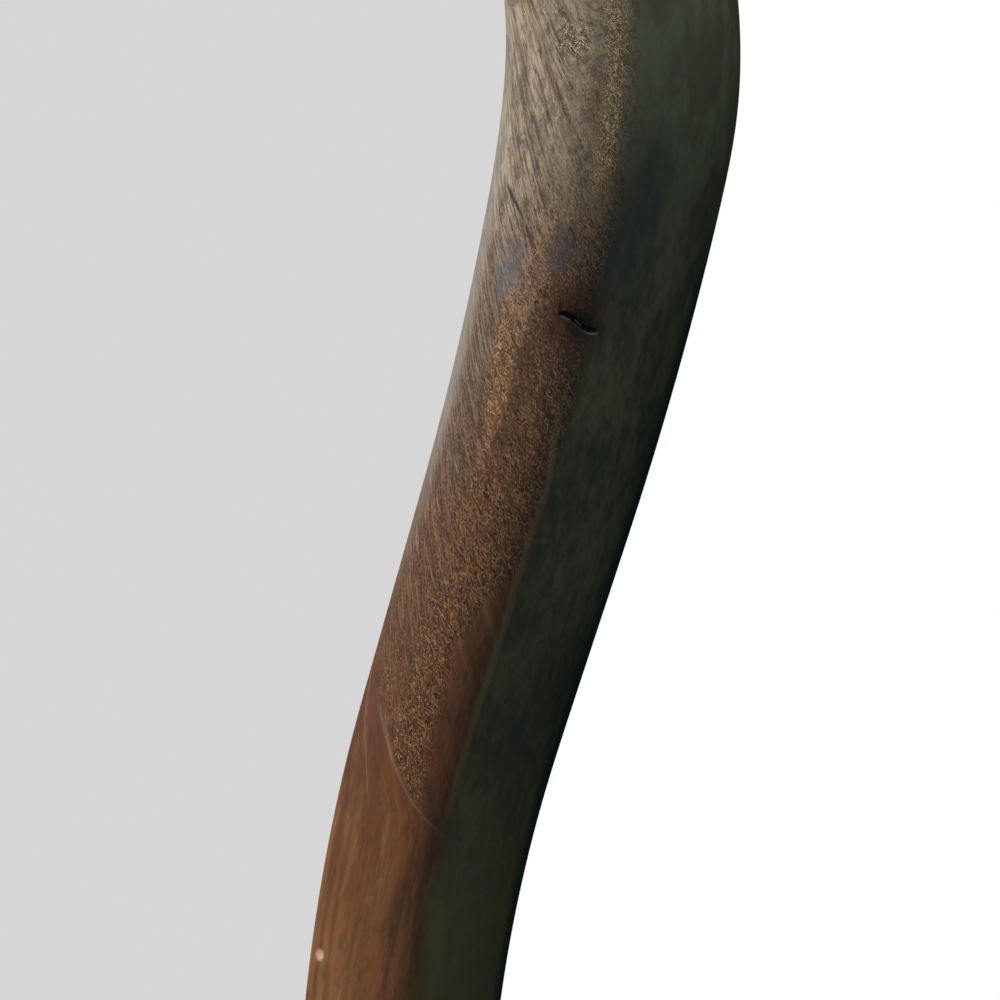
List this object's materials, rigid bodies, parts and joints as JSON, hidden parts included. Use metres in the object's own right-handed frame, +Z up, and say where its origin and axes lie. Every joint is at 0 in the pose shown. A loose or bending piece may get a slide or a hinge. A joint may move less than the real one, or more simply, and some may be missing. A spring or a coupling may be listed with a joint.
{
  "type": "wooden wing dummy",
  "caption": "Free-standing wooden wing dummy: a round trunk with tapered arms and a bent leg, hung on spring slats in a braced timber stand.",
  "frame": {"origin": "on the floor under the trunk axis, at the centre of the stand's footprint", "axes": "+Z up; the dummy faces -Y; the slats and the trunk's sideways slide run along X"},
  "size_m": [1.08, 0.96, 1.72],
  "materials": {
    "trunk_wood": "dark walnut stain, satin varnish",
    "limb_wood": "dark walnut stain, glossy satin varnish, open pores",
    "pin_wood": "oiled hardwood",
    "slat_wood": "satin varnish",
    "stand_wood": "dark walnut stain, satin varnish",
    "steel": "zinc plated",
    "rubber": "matt black rubber"
  },
  "bodies": {
    "stand": {"slat_upper": "slat_wood", "slat_lower": "slat_wood", "slat_stops": "pin_wood", "tenon_dowels": "pin_wood", "post_left": "stand_wood", "post_right": "stand_wood", "runner_left": "stand_wood", "runner_right": "stand_wood", "brace_left": "stand_wood", "brace_right": "stand_wood", "rear_beam": "stand_wood", "top_rail": "stand_wood", "rail_bolts": "steel", "rail_nuts": "steel", "rail_washers": "steel", "stand_screws": "steel", "stand_washers": "steel", "foot_screws": "steel", "rubber_feet": "rubber"},
    "trunk": {"trunk": "trunk_wood"},
    "arm_upper_right": {"arm_upper_right": "limb_wood"},
    "arm_upper_left": {"arm_upper_left": "limb_wood"},
    "arm_middle": {"arm_middle": "limb_wood"},
    "leg": {"leg": "limb_wood"},
    "pin_upper_right": {"pin_upper_right": "pin_wood"},
    "pin_upper_left": {"pin_upper_left": "pin_wood"},
    "pin_middle": {"pin_middle": "pin_wood"},
    "pin_leg": {"pin_leg": "pin_wood"},
    "pin_slat_upper_left": {"pin_slat_upper_left": "pin_wood"},
    "pin_slat_upper_right": {"pin_slat_upper_right": "pin_wood"},
    "pin_slat_lower_left": {"pin_slat_lower_left": "pin_wood"},
    "pin_slat_lower_right": {"pin_slat_lower_right": "pin_wood"}
  },
  "joints": [
    {"name": "trunk_slide", "type": "slide", "parent": "stand", "child": "trunk", "axis": [1, 0, 0], "range_m": [-0.04, 0.04]},
    {"name": "arm_upper_right_play", "type": "slide", "parent": "trunk", "child": "arm_upper_right", "axis": [0.2588, -0.9659, 0], "range_m": [0, 0.008]},
    {"name": "arm_upper_left_play", "type": "slide", "parent": "trunk", "child": "arm_upper_left", "axis": [-0.2588, -0.9659, 0], "range_m": [0, 0.008]},
    {"name": "arm_middle_play", "type": "slide", "parent": "trunk", "child": "arm_middle", "axis": [0, -1, 0], "range_m": [0, 0.008]},
    {"name": "leg_play", "type": "slide", "parent": "trunk", "child": "leg", "axis": [0, 0.9397, 0.342], "range_m": [0, 0.008]},
    {"name": "pin_upper_right_draw", "type": "slide", "parent": "arm_upper_right", "child": "pin_upper_right", "axis": [0, 0, 1], "range_m": [0, 0.07]},
    {"name": "pin_upper_left_draw", "type": "slide", "parent": "arm_upper_left", "child": "pin_upper_left", "axis": [0, 0, 1], "range_m": [0, 0.07]},
    {"name": "pin_middle_draw", "type": "slide", "parent": "arm_middle", "child": "pin_middle", "axis": [0, 0, 1], "range_m": [0, 0.07]},
    {"name": "pin_leg_draw", "type": "slide", "parent": "leg", "child": "pin_leg", "axis": [0, 0, 1], "range_m": [0, 0.09]},
    {"name": "pin_slat_upper_left_draw", "type": "slide", "parent": "stand", "child": "pin_slat_upper_left", "axis": [0, 0, 1], "range_m": [0, 0.09]},
    {"name": "pin_slat_upper_right_draw", "type": "slide", "parent": "stand", "child": "pin_slat_upper_right", "axis": [0, 0, 1], "range_m": [0, 0.09]},
    {"name": "pin_slat_lower_left_draw", "type": "slide", "parent": "stand", "child": "pin_slat_lower_left", "axis": [0, 0, 1], "range_m": [0, 0.09]},
    {"name": "pin_slat_lower_right_draw", "type": "slide", "parent": "stand", "child": "pin_slat_lower_right", "axis": [0, 0, 1], "range_m": [0, 0.09]}
  ]
}
